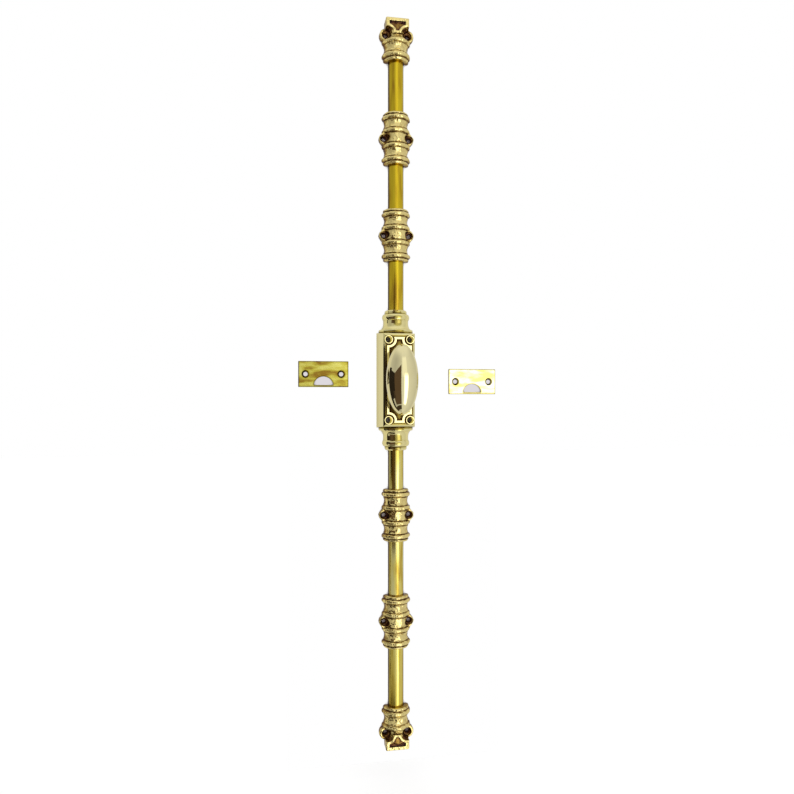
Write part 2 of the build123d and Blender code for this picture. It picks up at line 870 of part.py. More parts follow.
def knob():
    """The oval knob: a crowned body with a shallower back, on a waisted neck."""
    crown = half_oval(knob_crown, Keep.TOP)
    back = half_oval(knob_back, Keep.BOTTOM)
    neck_share = 2 * knob_neck_radius / knob_width
    shoulder_depth = knob_widest_depth - knob_back * math.sqrt(1 - neck_share**2)
    with BuildPart() as handle:
        with BuildSketch(Plane.XY):
            with BuildLine():
                Polyline(
                    (knob_neck_radius, -neck_back),
                    (0, -neck_back),
                    (0, -knob_widest_depth),
                    (knob_neck_radius, -knob_widest_depth),
                    (knob_neck_radius, -shoulder_depth),
                )
                ThreePointArc(
                    (knob_neck_radius, -shoulder_depth),
                    (knob_neck_waist, -(shoulder_depth + neck_back) / 2),
                    (knob_neck_radius, -neck_back),
                )
            make_face()
        revolve(axis=Axis.Y)
        add(crown)
        add(back)
        with BuildSketch(front(0)):
            Circle(spindle_radius + press_gap)
        extrude(amount=spindle_reach + press_gap, mode=Mode.SUBTRACT)
        with Locations(Plane(origin=(0, -neck_back - pin_height, 0), z_dir=(1, 0, 0))):
            Cylinder(pin_radius + press_gap, 4 * spindle_radius, mode=Mode.SUBTRACT)
    handle.part.label = "knob"
    export_step(handle.part, "parts/knob.step")


def knob_pin():
    """The cross pin through the neck of the knob and the spindle."""
    with BuildPart() as pin:
        with Locations(Plane(origin=(0, -neck_back - pin_height, 0), z_dir=(1, 0, 0))):
            Cylinder(pin_radius, 2 * knob_neck_waist)
    pin.part.label = "knob_pin"
    export_step(pin.part, "parts/knob_pin.step")


def strike_plate(x, z, label):
    """A strike plate: two countersunk holes and an opening in the shape of the rod."""
    chord = strike_opening_width / 2
    arch_radius = (chord**2 + strike_opening_height**2) / (2 * strike_opening_height)
    foot = z - strike_height / 2 + strike_opening_foot
    with BuildSketch(front(0)) as opening:
        with Locations((x, foot + strike_opening_height - arch_radius)):
            Circle(arch_radius)
        with Locations((x, foot)):
            Rectangle(
                2 * strike_opening_width,
                strike_opening_height,
                align=(Align.CENTER, Align.MIN),
                mode=Mode.INTERSECT,
            )
    with BuildPart() as plate:
        with BuildSketch(front(0)):
            with Locations((x, z)):
                RectangleRounded(strike_width, strike_height, strike_corner)
        extrude(amount=strike_thickness)
        chamfer(plate.faces().sort_by(Axis.Y)[0].edges(), strike_bevel)
        extrude(opening.sketch, amount=2 * strike_thickness, mode=Mode.SUBTRACT)
        for side in (-1, 1):
            with Locations(spot(x + side * strike_screw_spacing / 2, strike_thickness, z)):
                CounterSinkHole(
                    strike_hole_radius,
                    strike_sink_radius,
                    strike_thickness,
                    counter_sink_angle=sink_angle,
                )
    plate.part.label = label
    export_step(plate.part, f"parts/{label}.step")


os.makedirs("parts", exist_ok=True)

case_body()
back_plate()
countersunk_screws(
    plate_screw_spots(0, 1),
    plate_screw_radius,
    plate_screw_head,
    plate_screw_length,
    "back_plate_screws",
)
front_bush()
thrust_washer()
pinion()
spindle()
knob()
knob_pin()
for direction, side, guide_start in ((1, "upper", top_guide_start), (-1, "lower", bottom_guide_start)):
    rack(direction, f"{side}_rack")
    rod(direction, guide_start + end_guide_length - rod_end_recess, f"{side}_rod")
    countersunk_screws(
        rack_screw_spots(direction),
        rack_screw_radius,
        rack_screw_head,
        rack_screw_length,
        f"{side}_rack_screws",
    )
rod_guide(upper_outer_height, "upper_outer_guide")
rod_guide(upper_inner_height, "upper_inner_guide")
rod_guide(lower_inner_height, "lower_inner_guide")
rod_guide(lower_outer_height, "lower_outer_guide")
end_guide(top_guide_start, 1, "top_end_guide")
end_guide(bottom_guide_start, -1, "bottom_end_guide")
strike_plate(left_strike_x, left_strike_z, "left_strike_plate")
strike_plate(right_strike_x, right_strike_z, "right_strike_plate")
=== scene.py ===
import bpy
import math
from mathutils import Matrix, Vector


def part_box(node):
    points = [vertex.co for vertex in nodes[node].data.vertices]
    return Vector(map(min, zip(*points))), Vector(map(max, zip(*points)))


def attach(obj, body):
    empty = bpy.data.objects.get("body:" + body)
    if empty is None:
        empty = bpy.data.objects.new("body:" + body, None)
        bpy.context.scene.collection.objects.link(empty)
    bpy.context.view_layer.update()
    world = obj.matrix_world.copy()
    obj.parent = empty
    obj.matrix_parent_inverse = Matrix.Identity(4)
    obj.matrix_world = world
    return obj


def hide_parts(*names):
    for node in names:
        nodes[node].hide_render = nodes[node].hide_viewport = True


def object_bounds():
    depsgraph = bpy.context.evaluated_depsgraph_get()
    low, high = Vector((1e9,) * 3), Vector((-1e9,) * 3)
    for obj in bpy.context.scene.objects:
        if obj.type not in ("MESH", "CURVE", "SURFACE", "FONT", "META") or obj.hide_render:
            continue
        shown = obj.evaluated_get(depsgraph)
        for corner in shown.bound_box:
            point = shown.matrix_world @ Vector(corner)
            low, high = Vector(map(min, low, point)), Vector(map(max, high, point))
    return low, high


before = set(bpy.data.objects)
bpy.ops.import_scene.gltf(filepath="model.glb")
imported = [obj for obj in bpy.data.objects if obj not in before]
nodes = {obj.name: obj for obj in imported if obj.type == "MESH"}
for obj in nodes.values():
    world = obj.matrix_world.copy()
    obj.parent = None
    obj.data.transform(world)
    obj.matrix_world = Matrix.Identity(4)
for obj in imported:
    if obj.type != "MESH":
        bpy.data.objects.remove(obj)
cad_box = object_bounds()
scene = bpy.context.scene

# Camera. The set is seen from in front, level with a point just below the knob and 10 degrees from the left,
# close enough for the end guides to show their inner ends. The frame is 36 mm wide on the sensor.
view_distance = 0.690
view_turn = math.radians(-10)
aim = Vector((0.0015, 0.0, -0.017))
image_width = 794
focal_pixels = 673
sensor_width = 36.0
nearest_seen = 0.01
bpy.ops.object.select_all(action="DESELECT")
bpy.ops.object.camera_add(
    location=aim + view_distance * Vector((math.sin(view_turn), -math.cos(view_turn), 0)),
    rotation=(math.radians(90), 0, view_turn),
)
camera = bpy.context.object
camera.data.sensor_width = sensor_width
camera.data.lens = sensor_width * focal_pixels / image_width
camera.data.clip_start = nearest_seen
scene.camera = camera
scene.view_settings.view_transform = "Standard"


# Studio. The set lies in a white tent that is dimmer on its left. Its tall door, in front and a little to the
# right of the camera, is bright: it is the light line down each rod and the long highlight on the knob.
def add(tree, kind, settings=None, **inputs):
    """Adds a node. Settings may hold colour stops; inputs go by name, or by number after a low line."""
    made = tree.nodes.new(kind)
    for name, value in (settings or {}).items():
        if name == "stops":
            stops = made.color_ramp.elements
            for stop, (position, colour) in zip(stops, (value[0], value[-1])):
                stop.position = position
                stop.color = colour
            for position, colour in value[1:-1]:
                stops.new(position).color = colour
        else:
            setattr(made, name, value)
    for name, value in inputs.items():
        key = int(name[1:]) if name[1:].isdigit() else name.replace("_", " ")
        if isinstance(value, bpy.types.NodeSocket):
            tree.links.new(value, made.inputs[key])
        else:
            made.inputs[key].default_value = value
    return made


wall_light = (
    (-180, 0.85), (-130, 0.75), (-100, 0.55), (-60, 0.46), (-40, 0.52), (-20, 0.62), (-4, 0.80), (6, 0.74),
    (34, 0.78), (75, 0.68), (120, 0.58), (180, 0.50),
)
roof_light = (0.85, 0.85, 0.85, 1)
roof_start = math.radians(30)
roof_end = math.radians(65)
openings = {
    "fanlight": ((-8, 26), (6, 40), (1.02, 1.02, 1.00, 1)),
    "door": ((8, 33), (-45, 8), (2.3, 2.3, 2.25, 1)),
}
opening_edge = 4.0
room = bpy.data.worlds.new("studio_tent")
scene.world = room
room.use_nodes = True
tree = room.node_tree
tree.nodes.clear()
axes = add(tree, "ShaderNodeSeparateXYZ", Vector=add(tree, "ShaderNodeTexCoord").outputs["Generated"])
forwards = add(tree, "ShaderNodeMath", {"operation": "MULTIPLY"}, _0=axes.outputs["Y"], _1=-1.0)
bearing = add(tree, "ShaderNodeMath", {"operation": "ARCTAN2"}, _0=axes.outputs["X"], _1=forwards.outputs[0])
turn = add(tree, "ShaderNodeMapRange", Value=bearing.outputs[0], From_Min=-math.pi, From_Max=math.pi)
height = add(tree, "ShaderNodeMath", {"operation": "ARCSINE"}, _0=axes.outputs["Z"])
wall_stops = [((degrees + 180) / 360, (level, level, level, 1)) for degrees, level in wall_light]
wall = add(tree, "ShaderNodeValToRGB", {"stops": wall_stops}, Fac=turn.outputs[0])
roof = add(
    tree, "ShaderNodeMapRange", {"interpolation_type": "SMOOTHSTEP"}, Value=height.outputs[0],
    From_Min=roof_start, From_Max=roof_end,
)
tent = add(
    tree, "ShaderNodeMix", {"data_type": "RGBA"}, _0=roof.outputs[0], _6=wall.outputs[0], _7=roof_light
)
for sideways, upwards, glow in openings.values():
    through = 1.0
    for angle, (low, high) in ((bearing, sideways), (height, upwards)):
        for edge, inwards in ((low, opening_edge), (high, -opening_edge)):
            cut = add(
                tree, "ShaderNodeMapRange", {"interpolation_type": "SMOOTHSTEP"}, Value=angle.outputs[0],
                From_Min=math.radians(edge - inwards), From_Max=math.radians(edge + inwards),
            )
            through = add(
                tree, "ShaderNodeMath", {"operation": "MULTIPLY"}, _0=through, _1=cut.outputs[0]
            ).outputs[0]
    tent = add(tree, "ShaderNodeMix", {"data_type": "RGBA"}, _0=through, _6=tent.outputs[2], _7=glow)
seen = add(tree, "ShaderNodeLightPath").outputs["Is Camera Ray"]
backdrop = add(tree, "ShaderNodeMix", {"data_type": "RGBA"}, _0=seen, _6=tent.outputs[2], _7=(1, 1, 1, 1))
light = add(tree, "ShaderNodeBackground", Color=backdrop.outputs[2])
add(tree, "ShaderNodeOutputWorld", Surface=light.outputs[0])

# Screens. Dark cloths hang round the left of the set, far and near, out of the camera's sight. They give
# the polished knob, the necks and the lower rod their dark reflections. Some hang from a sloping line.
far = 0.50
near = 0.25
panels_round = 240
screens = {
    "left_screen": (far, (-116, -85), (-0.60, 0.13, 0.15), (0.022, 0.017, 0.014, 1)),
    "middle_screen": (near, (-96, -54), (-0.130, 0.066, 0.046), (0.022, 0.017, 0.015, 1)),
    "front_screen": (far, (-66, -13), (-0.19, 0.06, 0.22), (0.100, 0.064, 0.044, 1)),
    "low_screen": (near, (-66, -12), (-0.23, -0.070, -0.070), (0.100, 0.066, 0.045, 1)),
    "foot_screen": (far, (-116, -14), (-1.10, -0.54, -0.54), (0.050, 0.036, 0.026, 1)),
}
for name, (distance, (first, last), (low, left_top, right_top), shade) in screens.items():
    bpy.ops.mesh.primitive_circle_add(vertices=panels_round, radius=distance, location=(0, 0, low))
    screen = bpy.context.object
    screen.name = name
    bpy.ops.object.mode_set(mode="EDIT")
    bpy.ops.mesh.select_all(action="SELECT")
    bpy.ops.mesh.extrude_edges_move(TRANSFORM_OT_translate={"value": (0, 0, left_top - low)})
    bpy.ops.mesh.select_mode(type="FACE")
    bpy.ops.mesh.select_all(action="DESELECT")
    bpy.ops.object.mode_set(mode="OBJECT")
    for face in screen.data.polygons:
        degrees = math.degrees(math.atan2(face.center.x, -face.center.y))
        face.select = not first < degrees < last
    bpy.ops.object.mode_set(mode="EDIT")
    bpy.ops.mesh.delete(type="FACE")
    bpy.ops.object.mode_set(mode="OBJECT")
    for vertex in screen.data.vertices:
        if vertex.co.z > 0:
            degrees = math.degrees(math.atan2(vertex.co.x, -vertex.co.y))
            vertex.co.z += (right_top - left_top) * (degrees - first) / (last - first)
    cloth = bpy.data.materials.new(name + "_cloth")
    cloth.use_nodes = True
    tree = cloth.node_tree
    tree.nodes.clear()
    dim = add(tree, "ShaderNodeEmission", Color=shade)
    add(tree, "ShaderNodeOutputMaterial", Surface=dim.outputs[0])
    screen.data.materials.append(cloth)
    screen.visible_camera = False
    screen.visible_diffuse = False
    screen.visible_shadow = False

# Floor. White paper far enough below the set to cast no shadow on it.
floor_drop = 0.035
floor_size = 8.0
floor_height = cad_box[0].z - floor_drop
paper_white = (0.9, 0.9, 0.9, 1)
paper_roughness = 0.9
paper_glow = 0.35
bpy.ops.mesh.primitive_plane_add(size=floor_size, location=(0, 0, floor_height))
floor = bpy.context.object
floor.name = "floor"
floor.visible_glossy = False
paper = bpy.data.materials.new("white_paper")
paper.use_nodes = True
sheet = paper.node_tree.nodes["Principled BSDF"]
sheet.inputs["Base Color"].default_value = paper_white
sheet.inputs["Roughness"].default_value = paper_roughness
sheet.inputs["Emission Color"].default_value = (1, 1, 1, 1)
sheet.inputs["Emission Strength"].default_value = paper_glow
floor.data.materials.append(paper)


# Backing. The set is laid out on white board that glows, with painted shade close under the brass, so its
# screw holes are dark and the openings of the strike plates a little grey. The board is seen from in front,
# and mirrored at the set's edges, where the reflections show painted shade near the brass. The backs that lie
# on it are lit as if it weren't there.
def linear(code):
    """The linear colour of an sRGB hex code."""
    parts = [int(code[place:place + 2], 16) / 255 for place in (1, 3, 5)]
    return (*(part / 12.92 if part <= 0.04045 else ((part + 0.055) / 1.055) ** 2.4 for part in parts), 1)


board_gap = 0.0005
board_half_width = 0.11
board_top = 0.39
board_bottom = -0.39
hole_reach = 0.006
touching = 0.002
plate_inset = 0.0012
strikes = ("left_strike_plate", "right_strike_plate")
boards = {
    "white_board": (
        (-board_half_width, board_bottom), (board_half_width, board_top), "#ffffff", 2 * board_gap,
    ),
}
# Painted shadow: behind each strike plate, a grey card a little smaller than the plate shows through its
# opening.
for name in strikes:
    low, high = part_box(name)
    boards[name + "_painted_shadow"] = (
        (low.x + plate_inset, low.z + plate_inset), (high.x - plate_inset, high.z - plate_inset),
        "#dedade", board_gap,
    )
for name, (low, high, tone, gap) in boards.items():
    middle = ((low[0] + high[0]) / 2, gap, (low[1] + high[1]) / 2)
    bpy.ops.mesh.primitive_plane_add(size=1, location=middle, rotation=(math.radians(90), 0, 0))
    board = bpy.context.object
    board.name = name
    board.scale = (high[0] - low[0], high[1] - low[1], 1)
    card = bpy.data.materials.new(name + "_card")
    card.use_nodes = True
    tree = card.node_tree
    tree.nodes.clear()
    # Painted shade: the glow is darker where brass is close, by ambient occlusion, as seen and as reflected.
    open_sky = add(tree, "ShaderNodeAmbientOcclusion", {"samples": 8}, Distance=hole_reach).outputs["AO"]
    painted_shade_stops = [(0.10, linear("#1c1210")), (0.26, linear("#64524e")), (0.50, linear(tone))]
    painted_shade_tones = add(tree, "ShaderNodeValToRGB", {"stops": painted_shade_stops}, Fac=open_sky)
    reflected_shade_stops = [(0.20, linear("#1c1210")), (0.45, linear("#b8b4ac")), (1.00, linear("#dedcd4"))]
    reflected_shade = add(tree, "ShaderNodeValToRGB", {"stops": reflected_shade_stops}, Fac=open_sky)
    path = add(tree, "ShaderNodeLightPath")
    either = add(
        tree, "ShaderNodeMix", {"data_type": "RGBA"}, _0=path.outputs["Is Camera Ray"],
        _6=reflected_shade.outputs[0], _7=painted_shade_tones.outputs[0],
    )
    lit = add(tree, "ShaderNodeEmission", Color=either.outputs[2])
    clear = add(tree, "ShaderNodeBsdfTransparent")
    behind = add(tree, "ShaderNodeNewGeometry").outputs["Backfacing"]
    short = add(
        tree, "ShaderNodeMath", {"operation": "LESS_THAN"}, _0=path.outputs["Ray Length"], _1=touching
    )
    open_to = add(tree, "ShaderNodeMath", {"operation": "MAXIMUM"}, _0=behind, _1=short.outputs[0])
    face = add(tree, "ShaderNodeMixShader", Fac=open_to.outputs[0], _1=lit.outputs[0], _2=clear.outputs[0])
    add(tree, "ShaderNodeOutputMaterial", Surface=face.outputs[0])
    board.data.materials.append(card)
    board.visible_diffuse = False
    board.visible_transmission = False
    board.visible_shadow = False


# Rods. Two half-round bars of drawn brass slide in the guides. Drawing leaves fine lines along them, and
# their edges by the door are darkened brown with painted shade.
def metal(name):
    """A new metal: material, node tree, shader, and the Object coordinates that its patterns follow."""
    material = bpy.data.materials.new(name)
    material.use_nodes = True
    tree = material.node_tree
    shader = tree.nodes["Principled BSDF"]
    shader.inputs["Metallic"].default_value = 1.0
    return material, tree, shader, add(tree, "ShaderNodeTexCoord").outputs["Object"]


def dress(material, *names):
    """Puts one material on every slot of each CAD node named."""
    for name in names:
        for slot in nodes[name].material_slots:
            slot.material = material


drawn, tree, shader, place = metal("drawn_brass")
line_spacing = 0.0005
line_length = 0.080
stain_width = 0.006
stain_length = 0.045
rods_bottom = -0.36
rods_top = 0.36
line_strength = 0.28
door_shade_from = -0.0065
door_shade_to = -0.0025
back_facing = 0.9
ripple_height = 0.00005
along = add(
    tree, "ShaderNodeMapping", Vector=place, Scale=(1 / line_spacing, 1 / line_spacing, 1 / line_length)
)
lines = add(tree, "ShaderNodeTexNoise", Vector=along.outputs[0], Scale=1.0, Detail=3.0)
spread = add(
    tree, "ShaderNodeMapping", Vector=place, Scale=(1 / stain_width, 1 / stain_width, 1 / stain_length)
)
stains = add(tree, "ShaderNodeTexNoise", Vector=spread.outputs[0], Scale=1.0, Detail=2.0)
gold_stops = [(0.36, linear("#ecd034")), (0.52, linear("#e2c22e")), (0.66, linear("#bd962c"))]
pale_stops = [(0.36, linear("#fff4a4")), (0.50, linear("#f8e478")), (0.64, linear("#d4b248"))]
gold, pale = (
    add(tree, "ShaderNodeValToRGB", {"stops": stops}, Fac=stains.outputs["Fac"]).outputs[0]
    for stops in (gold_stops, pale_stops)
)
spot = add(tree, "ShaderNodeSeparateXYZ", Vector=place)
# The lower rod is the paler of the two, except at its foot.
heights = add(
    tree, "ShaderNodeMapRange", Value=spot.outputs["Z"], From_Min=rods_bottom, From_Max=rods_top
)
paleness = ((0.0, 0.1), (0.18, 1.0), (0.34, 1.0), (0.64, 0.0))
paleness_stops = [(position, (level, level, level, 1)) for position, level in paleness]
lower = add(tree, "ShaderNodeValToRGB", {"stops": paleness_stops}, Fac=heights.outputs[0])
brass = add(tree, "ShaderNodeMix", {"data_type": "RGBA"}, _0=lower.outputs[0], _6=gold, _7=pale)
tint = add(
    tree, "ShaderNodeMix", {"data_type": "RGBA", "blend_type": "MULTIPLY"}, _0=line_strength,
    _6=brass.outputs[2], _7=lines.outputs["Fac"],
)
# Painted shade: the rods' edges close to the door are darkened brown.
edge = add(
    tree, "ShaderNodeMapRange", {"interpolation_type": "SMOOTHSTEP"}, Value=spot.outputs["Y"],
    From_Min=door_shade_from, From_Max=door_shade_to,
)
door_shaded = add(
    tree, "ShaderNodeMix", {"data_type": "RGBA"}, _0=edge.outputs[0], _6=tint.outputs[2], _7=linear("#4a3814")
)
# The flat back is as drawn.
facing = add(
    tree, "ShaderNodeSeparateXYZ", Vector=add(tree, "ShaderNodeNewGeometry").outputs["Normal"]
)
back = add(tree, "ShaderNodeMath", {"operation": "GREATER_THAN"}, _0=facing.outputs["Y"], _1=back_facing)
bar = add(
    tree, "ShaderNodeMix", {"data_type": "RGBA"}, _0=back.outputs[0], _6=door_shaded.outputs[2], _7=linear("#b09a4c")
)
tree.links.new(bar.outputs[2], shader.inputs["Base Color"])
dull = add(tree, "ShaderNodeMapRange", Value=stains.outputs["Fac"], To_Min=0.09, To_Max=0.24)
tree.links.new(dull.outputs[0], shader.inputs["Roughness"])
ripple = add(tree, "ShaderNodeBump", Height=lines.outputs["Fac"], Strength=1.0, Distance=ripple_height)
tree.links.new(ripple.outputs[0], shader.inputs["Normal"])
dress(drawn, "upper_rod", "lower_rod")

# Guides. Four cast brass straps hold the rods to the door, and a square-ended one holds each rod's tip. Each
# is a sand casting chased and polished by hand, so its rings are a little uneven. Its hollows are darkened
# with patina and painted shade, and its foot and flanks with painted shade.
cast, tree, shader, place = metal("cast_brass_chased")
groove_reach = 0.0028
pocket_reach = 0.009
blotch_size = 0.005
groove_weight = 0.64
pocket_weight = 0.22
blotch_weight = 0.46
hollow_tarnish_and_shade = -0.19
foot_shade_weight = -0.20
flank_shade_weight = -0.17
foot_from = -0.0060
foot_to = -0.0010
flank_from = -0.85
flank_to = -0.15
# Patina and painted shade: the grooves and pockets are darkened by ambient occlusion.
sky = [
    add(tree, "ShaderNodeAmbientOcclusion", {"samples": 8, "only_local": True}, Distance=reach).outputs["AO"]
    for reach in (groove_reach, pocket_reach)
]
blotches = add(tree, "ShaderNodeTexNoise", Vector=place, Scale=1 / blotch_size, Detail=4.0)
near_sky = add(tree, "ShaderNodeMath", {"operation": "MULTIPLY"}, _0=sky[0], _1=groove_weight)
both = add(
    tree, "ShaderNodeMath", {"operation": "MULTIPLY_ADD"},
    _0=sky[1], _1=pocket_weight, _2=near_sky.outputs[0],
)
shelter = add(
    tree, "ShaderNodeMath", {"operation": "MULTIPLY_ADD"},
    _0=blotches.outputs["Fac"], _1=blotch_weight, _2=both.outputs[0],
)
# The screw pockets, and the sunk field of an end guide, are darkened with patina and painted shade. The foot,
# by the door, is darkened with painted shade.
hollow = add(tree, "ShaderNodeAttribute", {"attribute_name": "hollow"}).outputs["Fac"]
scooped = add(
    tree, "ShaderNodeMath", {"operation": "MULTIPLY_ADD"},
    _0=hollow, _1=hollow_tarnish_and_shade, _2=shelter.outputs[0],
)
spot = add(tree, "ShaderNodeSeparateXYZ", Vector=place)
# Painted shade: the foot, close to the door, is darkened.
foot = add(
    tree, "ShaderNodeMapRange", {"interpolation_type": "SMOOTHSTEP"}, Value=spot.outputs["Y"],
    From_Min=foot_from, From_Max=foot_to,
)
shaded = add(
    tree, "ShaderNodeMath", {"operation": "MULTIPLY_ADD"},
    _0=foot.outputs[0], _1=foot_shade_weight, _2=scooped.outputs[0],
)
# Painted shade: the flanks, which face sideways, are darker than the front.
facing = add(
    tree, "ShaderNodeSeparateXYZ", Vector=add(tree, "ShaderNodeNewGeometry").outputs["Normal"]
)
flank = add(
    tree, "ShaderNodeMapRange", {"interpolation_type": "SMOOTHSTEP"}, Value=facing.outputs["Y"],
    From_Min=flank_from, From_Max=flank_to,
)
flank_shaded = add(
    tree, "ShaderNodeMath", {"operation": "MULTIPLY_ADD"},
    _0=flank.outputs[0], _1=flank_shade_weight, _2=shaded.outputs[0],
)
patina_stops = [
    (0.37, linear("#46292f")), (0.57, linear("#643e34")), (0.76, linear("#79582a")),
    (0.93, linear("#ae9048")), (1.00, linear("#efdb92")),
]
patina = add(tree, "ShaderNodeValToRGB", {"stops": patina_stops}, Fac=flank_shaded.outputs[0])
tree.links.new(patina.outputs[0], shader.inputs["Base Color"])
dull = add(
    tree, "ShaderNodeMapRange", Value=flank_shaded.outputs[0], From_Min=0.6, From_Max=1.0, To_Min=0.42, To_Max=0.12
)
tree.links.new(dull.outputs[0], shader.inputs["Roughness"])

# Each guide's shape again as one even skin, its corners softened and its surface left wavy by hand work.
# The back and the end faces aren't worked, so the casting stays in the box of the CAD.
weld_distance = 0.000001
casting_grain = 0.00027
chasing_size = 0.0032
chasing_depth = 0.00090
chasing_margin = 0.0005
hollow_front = -0.0030
pocket_spread = 0.0113
pocket_radius = 0.0060
pockets_from_tip = 0.0149
field_from_tip = 0.0125
field_front = -0.0124
field_half_width = 0.0095
field_tarnish_and_shade = 1.3
chasing = bpy.data.textures.new("chasing", "CLOUDS")
chasing.noise_scale = chasing_size
chasing.noise_depth = 1

for name in [name for name in nodes if "guide" in name]:
    bpy.ops.object.select_all(action="DESELECT")
    nodes[name].select_set(True)
    bpy.context.view_layer.objects.active = nodes[name]
    bpy.ops.object.duplicate()
    casting = bpy.context.object
    casting.name = name + "_casting"
    bpy.ops.object.mode_set(mode="EDIT")
    bpy.ops.mesh.select_all(action="SELECT")
    bpy.ops.mesh.remove_doubles(threshold=weld_distance)
    bpy.ops.object.mode_set(mode="OBJECT")
    skin = casting.modifiers.new("skin", "REMESH")
    skin.mode = "VOXEL"
    skin.voxel_size = casting_grain
    bpy.ops.object.modifier_apply(modifier="skin")
    soften = casting.modifiers.new("soften", "SMOOTH")
    soften.factor = 0.5
    soften.iterations = 2
    bpy.ops.object.modifier_apply(modifier="soften")
    low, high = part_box(name)
    ends_rod = "end" in name
    side = math.copysign(1, low.z)
    tip = high.z if side > 0 else low.z
    pockets_height = tip - side * pockets_from_tip if ends_rod else (low.z + high.z) / 2
    foot_end = low.z + chasing_margin
    head_end = high.z - chasing_margin
    worked = casting.vertex_groups.new(name="worked")
    worked.add(
        [
            vertex.index for vertex in casting.data.vertices
            if vertex.co.y < -chasing_margin and foot_end < vertex.co.z < head_end
        ],
        1.0, "REPLACE",
    )
    # The hollow attribute marks the pockets and the sunk field for their patina and painted shade.
    hollow = casting.data.attributes.new("hollow", "FLOAT", "POINT")
    for vertex, sunk in zip(casting.data.vertices, hollow.data):
        if vertex.co.y < hollow_front:
            reach = math.hypot(abs(vertex.co.x) - pocket_spread, vertex.co.z - pockets_height)
            sunk.value = min(1.0, max(0.0, 2 * (pocket_radius - reach) / pocket_radius))
            in_block = ends_rod and abs(tip - vertex.co.z) < field_from_tip
            if in_block and vertex.co.y > field_front and abs(vertex.co.x) < field_half_width:
                sunk.value = field_tarnish_and_shade
    chase = casting.modifiers.new("chase", "DISPLACE")
    chase.texture = chasing
    chase.vertex_group = "worked"
    chase.texture_coords = "LOCAL"
    chase.mid_level = 0.5
    chase.strength = chasing_depth
    bpy.ops.object.modifier_apply(modifier="chase")
    bpy.ops.object.shade_smooth()
    casting.vertex_groups.clear()
    casting.data.materials.clear()
    casting.data.materials.append(cast)
    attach(casting, "root")
    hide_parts(name)

# Case. A hollow brass casting, filed flat and polished. Its raised border and the rims of its screw holes are
# bright, and the ground beside them keeps some tarnish. Its creases are darkened with patina and painted
# shade, and the ground under the knob with painted shade.
polished, tree, shader, place = metal("cast_brass_polished")
ground_depth = -0.0226
ground_blend = 0.0002
tarnish_weight = 0.12
scuff_height = 0.00006
tarnish_size = 0.012
scuff_size = 0.0025
knob_shade_reach = 0.030
# Patina and painted shade: the creases are darkened by ambient occlusion.
open_sky = add(
    tree, "ShaderNodeAmbientOcclusion", {"samples": 8, "only_local": True}, Distance=groove_reach
).outputs["AO"]
tarnish = add(tree, "ShaderNodeTexNoise", Vector=place, Scale=1 / tarnish_size, Detail=3.0)
scuffs = add(tree, "ShaderNodeTexNoise", Vector=place, Scale=1 / scuff_size, Detail=3.0)
spot = add(tree, "ShaderNodeSeparateXYZ", Vector=place)
facing = add(
    tree, "ShaderNodeSeparateXYZ", Vector=add(tree, "ShaderNodeNewGeometry").outputs["True Normal"]
)
sunk = add(
    tree, "ShaderNodeMapRange", {"interpolation_type": "SMOOTHSTEP"}, Value=spot.outputs["Y"],
    From_Min=ground_depth - ground_blend, From_Max=ground_depth + ground_blend,
)
forward = add(
    tree, "ShaderNodeMapRange", {"interpolation_type": "SMOOTHSTEP"}, Value=facing.outputs["Y"],
    From_Min=-0.9, From_Max=-0.98,
)
ground = add(tree, "ShaderNodeMath", {"operation": "MULTIPLY"}, _0=sunk.outputs[0], _1=forward.outputs[0])
# Painted shade: the ground is darker under the knob and close to other parts, on top of its tarnish.
wide_sky = add(tree, "ShaderNodeAmbientOcclusion", {"samples": 8}, Distance=knob_shade_reach).outputs["AO"]
tarnish_and_knob_shade = add(
    tree, "ShaderNodeMapRange", Value=wide_sky, From_Min=0.92, From_Max=0.50, To_Min=0.20, To_Max=0.66
)
ground_tarnish_and_shade = add(
    tree, "ShaderNodeMath", {"operation": "MULTIPLY"}, _0=ground.outputs[0], _1=tarnish_and_knob_shade.outputs[0]
)
# Tarnish from the noise, with the creases' patina and painted shade.
tarnished = add(
    tree, "ShaderNodeMath", {"operation": "MULTIPLY_ADD"},
    _0=tarnish.outputs["Fac"], _1=tarnish_weight, _2=open_sky,
)
shaded = add(
    tree, "ShaderNodeMath", {"operation": "SUBTRACT"}, _0=tarnished.outputs[0], _1=ground_tarnish_and_shade.outputs[0]
)
patina_stops = [
    (0.40, linear("#38220f")), (0.64, linear("#84702c")), (0.84, linear("#b9a850")),
    (0.98, linear("#f4e8a6")),
]
patina = add(tree, "ShaderNodeValToRGB", {"stops": patina_stops}, Fac=shaded.outputs[0])
tree.links.new(patina.outputs[0], shader.inputs["Base Color"])
dull = add(
    tree, "ShaderNodeMapRange", Value=shaded.outputs[0], From_Min=0.6, From_Max=1.0, To_Min=0.30, To_Max=0.09
)
tree.links.new(dull.outputs[0], shader.inputs["Roughness"])
waver = add(tree, "ShaderNodeBump", Height=scuffs.outputs["Fac"], Strength=0.4, Distance=scuff_height)
tree.links.new(waver.outputs[0], shader.inputs["Normal"])
dress(polished, "case_body", "front_bush")

# Knob. A cast brass oval, turned by hand to throw the bolts. It is buffed to a mirror, and hands have left
# it a soft haze.
mirror, tree, shader, place = metal("mirror_brass")
haze_size = 0.015
haze = add(tree, "ShaderNodeTexNoise", Vector=place, Scale=1 / haze_size, Detail=5.0)
haze_tint = add(
    tree, "ShaderNodeMix", {"data_type": "RGBA"}, _0=haze.outputs["Fac"],
    _6=linear("#f6ecbc"), _7=linear("#eadfa8"),
)
tree.links.new(haze_tint.outputs[2], shader.inputs["Base Color"])
dull = add(tree, "ShaderNodeMapRange", Value=haze.outputs["Fac"], To_Min=0.02, To_Max=0.07)
tree.links.new(dull.outputs[0], shader.inputs["Roughness"])
dress(mirror, "knob")

